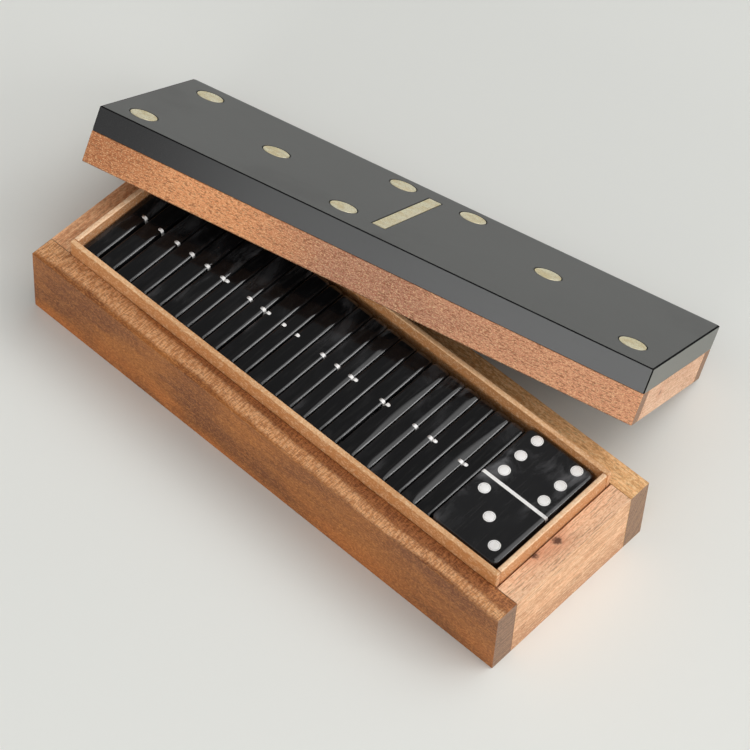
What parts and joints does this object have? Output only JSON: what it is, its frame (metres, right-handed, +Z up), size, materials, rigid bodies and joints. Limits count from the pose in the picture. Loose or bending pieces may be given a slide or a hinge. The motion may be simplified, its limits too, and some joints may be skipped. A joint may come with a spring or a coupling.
{
  "type": "boxed domino tile set",
  "caption": "Wooden box of black domino tiles with a loose inlaid lid leaning open over the row of tiles.",
  "frame": {"origin": "centre of the underside of the box, on the surface that the set stands on", "axes": "+X along the box towards the end with the face-up tile, +Y towards the leaning lid, +Z up"},
  "size_m": [0.2332, 0.1472, 0.0599],
  "materials": {
    "box_wood": "satin oiled hardwood, warm brown",
    "box_end_wood": "satin oiled hardwood, light tan",
    "liner_wood": "bare sanded hardwood",
    "panel_wood": "plain thin board",
    "lid_wood": "satin reddish hardwood with open pores",
    "lid_end_wood": "satin light hardwood",
    "dark_slab": "honed charcoal",
    "brass_inlay": "brushed flush with the slab",
    "tile_black": "polished, faint grey marbling",
    "tile_white": "polished flush with the tile"
  },
  "bodies": {
    "box": {"bottom_panel": "panel_wood", "box_board_near": "box_wood", "box_board_far": "box_wood", "box_board_left": "box_end_wood", "box_board_right": "box_end_wood", "liner_strip_near": "liner_wood", "liner_strip_far": "liner_wood", "liner_strip_left": "liner_wood", "liner_strip_right": "liner_wood"},
    "lid": {"lid_board_near": "lid_wood", "lid_board_far": "lid_wood", "lid_board_left": "lid_end_wood", "lid_board_right": "lid_end_wood", "lid_slab": "dark_slab", "brass_pip_1": "brass_inlay", "brass_pip_2": "brass_inlay", "brass_pip_3": "brass_inlay", "brass_pip_4": "brass_inlay", "brass_pip_5": "brass_inlay", "brass_pip_6": "brass_inlay", "brass_pip_7": "brass_inlay", "brass_pip_8": "brass_inlay", "brass_bar": "brass_inlay"},
    "standing_tile_01": {"standing_tile_01": "tile_black"},
    "standing_tile_02": {"standing_tile_02": "tile_black"},
    "standing_tile_03": {"standing_tile_03": "tile_black"},
    "standing_tile_04": {"standing_tile_04": "tile_black"},
    "standing_tile_05": {"standing_tile_05": "tile_black"},
    "standing_tile_06": {"standing_tile_06": "tile_black"},
    "standing_tile_07": {"standing_tile_07": "tile_black"},
    "standing_tile_08": {"standing_tile_08": "tile_black"},
    "standing_tile_09": {"standing_tile_09": "tile_black"},
    "standing_tile_10": {"standing_tile_10": "tile_black"},
    "standing_tile_11": {"standing_tile_11": "tile_black"},
    "standing_tile_12": {"standing_tile_12": "tile_black"},
    "standing_tile_13": {"standing_tile_13": "tile_black"},
    "standing_tile_14": {"standing_tile_14": "tile_black"},
    "standing_tile_15": {"standing_tile_15": "tile_black"},
    "standing_tile_16": {"standing_tile_16": "tile_black"},
    "standing_tile_17": {"standing_tile_17": "tile_black"},
    "standing_tile_18": {"standing_tile_18": "tile_black"},
    "standing_tile_19": {"standing_tile_19": "tile_black"},
    "standing_tile_20": {"standing_tile_20": "tile_black"},
    "standing_tile_21": {"standing_tile_21": "tile_black"},
    "standing_tile_22": {"standing_tile_22": "tile_black"},
    "standing_tile_23": {"standing_tile_23": "tile_black"},
    "flat_tile_1": {"flat_tile_1": "tile_black"},
    "flat_tile_2": {"flat_tile_2": "tile_black"},
    "flat_tile_3": {"flat_tile_3": "tile_black"},
    "face_up_tile": {"face_up_tile": "tile_black", "face_up_divider": "tile_white", "face_up_pip_1": "tile_white", "face_up_pip_2": "tile_white", "face_up_pip_3": "tile_white", "face_up_pip_4": "tile_white", "face_up_pip_5": "tile_white", "face_up_pip_6": "tile_white", "face_up_pip_7": "tile_white", "face_up_pip_8": "tile_white", "face_up_pip_9": "tile_white"}
  },
  "joints": [
    {"name": "lid_lift", "type": "slide", "parent": "box", "child": "lid", "axis": [0, 0, 1], "range_m": [0, 0.09]},
    {"name": "standing_tile_01_lift", "type": "slide", "parent": "box", "child": "standing_tile_01", "axis": [0, 0, 1], "range_m": [0, 0.007]},
    {"name": "standing_tile_02_lift", "type": "slide", "parent": "box", "child": "standing_tile_02", "axis": [0, 0, 1], "range_m": [0, 0.007]},
    {"name": "standing_tile_03_lift", "type": "slide", "parent": "box", "child": "standing_tile_03", "axis": [0, 0, 1], "range_m": [0, 0.007]},
    {"name": "standing_tile_04_lift", "type": "slide", "parent": "box", "child": "standing_tile_04", "axis": [0, 0, 1], "range_m": [0, 0.007]},
    {"name": "standing_tile_05_lift", "type": "slide", "parent": "box", "child": "standing_tile_05", "axis": [0, 0, 1], "range_m": [0, 0.007]},
    {"name": "standing_tile_06_lift", "type": "slide", "parent": "box", "child": "standing_tile_06", "axis": [0, 0, 1], "range_m": [0, 0.007]},
    {"name": "standing_tile_07_lift", "type": "slide", "parent": "box", "child": "standing_tile_07", "axis": [0, 0, 1], "range_m": [0, 0.007]},
    {"name": "standing_tile_08_lift", "type": "slide", "parent": "box", "child": "standing_tile_08", "axis": [0, 0, 1], "range_m": [0, 0.007]},
    {"name": "standing_tile_09_lift", "type": "slide", "parent": "box", "child": "standing_tile_09", "axis": [0, 0, 1], "range_m": [0, 0.007]},
    {"name": "standing_tile_10_lift", "type": "slide", "parent": "box", "child": "standing_tile_10", "axis": [0, 0, 1], "range_m": [0, 0.007]},
    {"name": "standing_tile_11_lift", "type": "slide", "parent": "box", "child": "standing_tile_11", "axis": [0, 0, 1], "range_m": [0, 0.007]},
    {"name": "standing_tile_12_lift", "type": "slide", "parent": "box", "child": "standing_tile_12", "axis": [0, 0, 1], "range_m": [0, 0.007]},
    {"name": "standing_tile_13_lift", "type": "slide", "parent": "box", "child": "standing_tile_13", "axis": [0, 0, 1], "range_m": [0, 0.007]},
    {"name": "standing_tile_14_lift", "type": "slide", "parent": "box", "child": "standing_tile_14", "axis": [0, 0, 1], "range_m": [0, 0.007]},
    {"name": "standing_tile_15_lift", "type": "slide", "parent": "box", "child": "standing_tile_15", "axis": [0, 0, 1], "range_m": [0, 0.007]},
    {"name": "standing_tile_16_lift", "type": "slide", "parent": "box", "child": "standing_tile_16", "axis": [0, 0, 1], "range_m": [0, 0.007]},
    {"name": "standing_tile_17_lift", "type": "slide", "parent": "box", "child": "standing_tile_17", "axis": [0, 0, 1], "range_m": [0, 0.007]},
    {"name": "standing_tile_18_lift", "type": "slide", "parent": "box", "child": "standing_tile_18", "axis": [0, 0, 1], "range_m": [0, 0.045]},
    {"name": "standing_tile_19_lift", "type": "slide", "parent": "box", "child": "standing_tile_19", "axis": [0, 0, 1], "range_m": [0, 0.045]},
    {"name": "standing_tile_20_lift", "type": "slide", "parent": "box", "child": "standing_tile_20", "axis": [0, 0, 1], "range_m": [0, 0.045]},
    {"name": "standing_tile_21_lift", "type": "slide", "parent": "box", "child": "standing_tile_21", "axis": [0, 0, 1], "range_m": [0, 0.045]},
    {"name": "standing_tile_22_lift", "type": "slide", "parent": "box", "child": "standing_tile_22", "axis": [0, 0, 1], "range_m": [0, 0.045]},
    {"name": "standing_tile_23_lift", "type": "slide", "parent": "box", "child": "standing_tile_23", "axis": [0, 0, 1], "range_m": [0, 0.045]},
    {"name": "flat_tile_1_lift", "type": "slide", "parent": "box", "child": "flat_tile_1", "axis": [0, 0, 1], "range_m": [0, 0.045]},
    {"name": "flat_tile_2_lift", "type": "slide", "parent": "flat_tile_1", "child": "flat_tile_2", "axis": [0, 0, 1], "range_m": [0, 0.045]},
    {"name": "flat_tile_3_lift", "type": "slide", "parent": "flat_tile_2", "child": "flat_tile_3", "axis": [0, 0, 1], "range_m": [0, 0.045]},
    {"name": "face_up_tile_lift", "type": "slide", "parent": "flat_tile_3", "child": "face_up_tile", "axis": [0, 0, 1], "range_m": [0, 0.045]}
  ]
}
